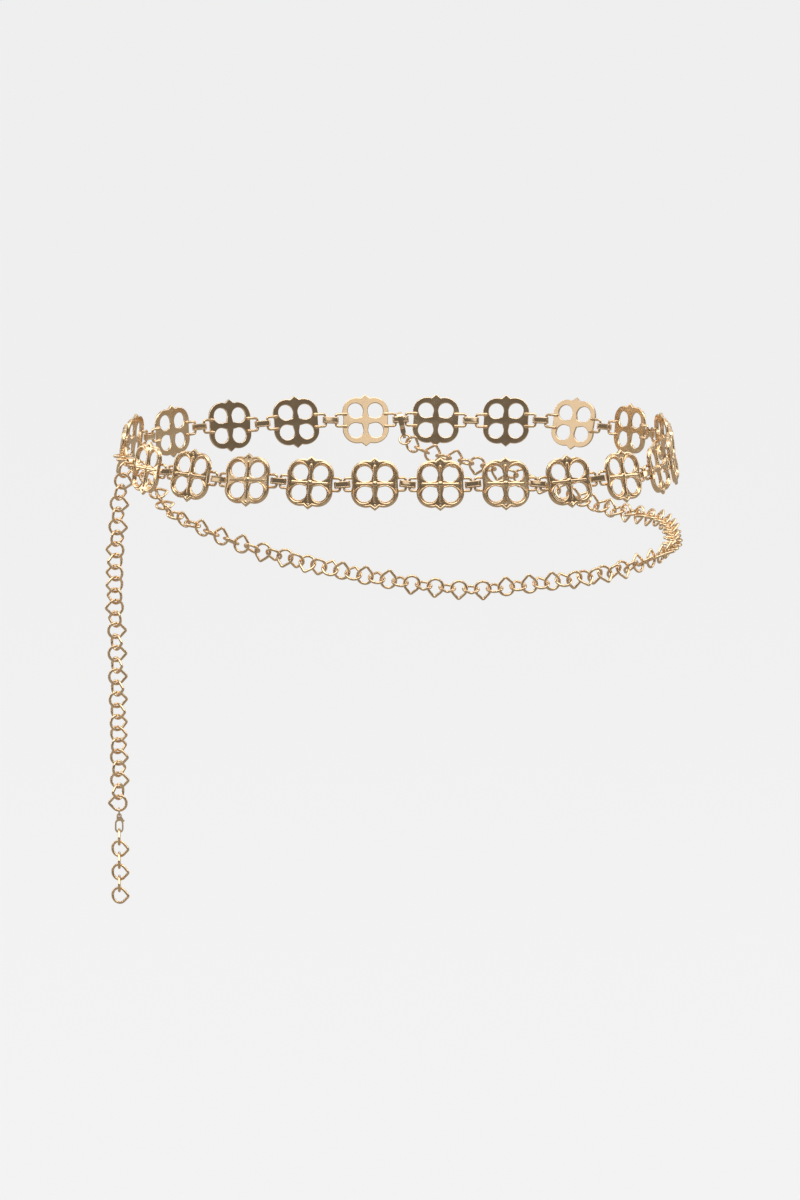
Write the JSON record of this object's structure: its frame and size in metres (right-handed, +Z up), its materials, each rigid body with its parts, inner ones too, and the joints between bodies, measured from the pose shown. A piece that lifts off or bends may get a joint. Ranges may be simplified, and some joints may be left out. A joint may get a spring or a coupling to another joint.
{
  "type": "waist chain",
  "caption": "Belt of pierced four-lobed medallions joined by folded strips, with lobster clasps, a chain swag and a hanging chain tassel.",
  "frame": {"origin": "middle of the worn loop, at the height of the middle of the medallions, where the waist goes through", "axes": "+Z up along the waist, -Y to the front of the wearer, +X to the right as seen from the front"},
  "size_m": [0.3193, 0.2585, 0.2607],
  "materials": {
    "medallion_01": "polished pale gold plate on the raised side, satin at the back",
    "medallion_02": "polished pale gold plate on the raised side, satin at the back",
    "medallion_03": "polished pale gold plate on the raised side, satin at the back",
    "medallion_04": "polished pale gold plate on the raised side, satin at the back",
    "medallion_05": "polished pale gold plate on the raised side, satin at the back",
    "medallion_06": "polished pale gold plate on the raised side, satin at the back",
    "medallion_07": "polished pale gold plate on the raised side, satin at the back",
    "medallion_08": "polished pale gold plate on the raised side, satin at the back",
    "medallion_09": "polished pale gold plate on the raised side, satin at the back",
    "medallion_10": "polished pale gold plate on the raised side, satin at the back",
    "medallion_11": "polished pale gold plate on the raised side, satin at the back",
    "medallion_12": "polished pale gold plate on the raised side, satin at the back",
    "medallion_13": "polished pale gold plate on the raised side, satin at the back",
    "medallion_14": "polished pale gold plate on the raised side, satin at the back",
    "medallion_15": "polished pale gold plate on the raised side, satin at the back",
    "medallion_16": "polished pale gold plate on the raised side, satin at the back",
    "medallion_17": "polished pale gold plate on the raised side, satin at the back",
    "medallion_18": "polished pale gold plate on the raised side, satin at the back",
    "medallion_19": "polished pale gold plate on the raised side, satin at the back",
    "medallion_20": "polished pale gold plate on the raised side, satin at the back",
    "medallion_21": "polished pale gold plate on the raised side, satin at the back",
    "medallion_22": "polished pale gold plate on the raised side, satin at the back",
    "medallion_23": "polished pale gold plate on the raised side, satin at the back",
    "front_connectors": "polished pale gold plate",
    "back_connectors": "polished pale gold plate",
    "clasp_chain": "polished pale gold plate",
    "waist_clasp": "polished pale gold plate",
    "belt_ring": "polished pale gold plate",
    "swag_ring": "polished pale gold plate",
    "swag_front": "polished pale gold plate",
    "swag_back": "polished pale gold plate",
    "swag_jump_ring": "polished pale gold plate",
    "swag_clasp": "polished pale gold plate",
    "tassel_chain": "polished pale gold plate",
    "tassel_ring": "polished pale gold plate",
    "tassel_clasp": "polished pale gold plate",
    "tassel_end": "polished pale gold plate",
    "waist_clasp_lever": "polished pale gold plate",
    "swag_clasp_lever": "polished pale gold plate",
    "tassel_clasp_lever": "polished pale gold plate"
  },
  "bodies": {
    "chain": {"medallion_01": "medallion_01", "medallion_02": "medallion_02", "medallion_03": "medallion_03", "medallion_04": "medallion_04", "medallion_05": "medallion_05", "medallion_06": "medallion_06", "medallion_07": "medallion_07", "medallion_08": "medallion_08", "medallion_09": "medallion_09", "medallion_10": "medallion_10", "medallion_11": "medallion_11", "medallion_12": "medallion_12", "medallion_13": "medallion_13", "medallion_14": "medallion_14", "medallion_15": "medallion_15", "medallion_16": "medallion_16", "medallion_17": "medallion_17", "medallion_18": "medallion_18", "medallion_19": "medallion_19", "medallion_20": "medallion_20", "medallion_21": "medallion_21", "medallion_22": "medallion_22", "medallion_23": "medallion_23", "front_connectors": "front_connectors", "back_connectors": "back_connectors", "clasp_chain": "clasp_chain", "waist_clasp": "waist_clasp", "belt_ring": "belt_ring", "swag_ring": "swag_ring", "swag_front": "swag_front", "swag_back": "swag_back", "swag_jump_ring": "swag_jump_ring", "swag_clasp": "swag_clasp", "tassel_chain": "tassel_chain", "tassel_ring": "tassel_ring", "tassel_clasp": "tassel_clasp", "tassel_end": "tassel_end"},
    "waist_lever": {"waist_clasp_lever": "waist_clasp_lever"},
    "swag_lever": {"swag_clasp_lever": "swag_clasp_lever"},
    "tassel_lever": {"tassel_clasp_lever": "tassel_clasp_lever"}
  },
  "joints": [
    {"name": "waist_lever_swing", "type": "hinge", "parent": "chain", "child": "waist_lever", "pos_m": [-0.14805, -0.03371, -0.00196], "axis": [-0.9881, -0.1537, 0], "range_deg": [0, 22], "stiffness_Nm_per_rad": 0.0004, "springref_deg": -20.05},
    {"name": "swag_lever_swing", "type": "hinge", "parent": "chain", "child": "swag_lever", "pos_m": [0.00308, 0.12134, -0.00596], "axis": [0.9793, 0.047, 0.1969], "range_deg": [0, 22], "stiffness_Nm_per_rad": 0.0004, "springref_deg": -20.05},
    {"name": "tassel_lever_swing", "type": "hinge", "parent": "chain", "child": "tassel_lever", "pos_m": [-0.15274, -0.04811, -0.19841], "axis": [0, 1, 0], "range_deg": [0, 22], "stiffness_Nm_per_rad": 0.0002, "springref_deg": -20.05}
  ]
}
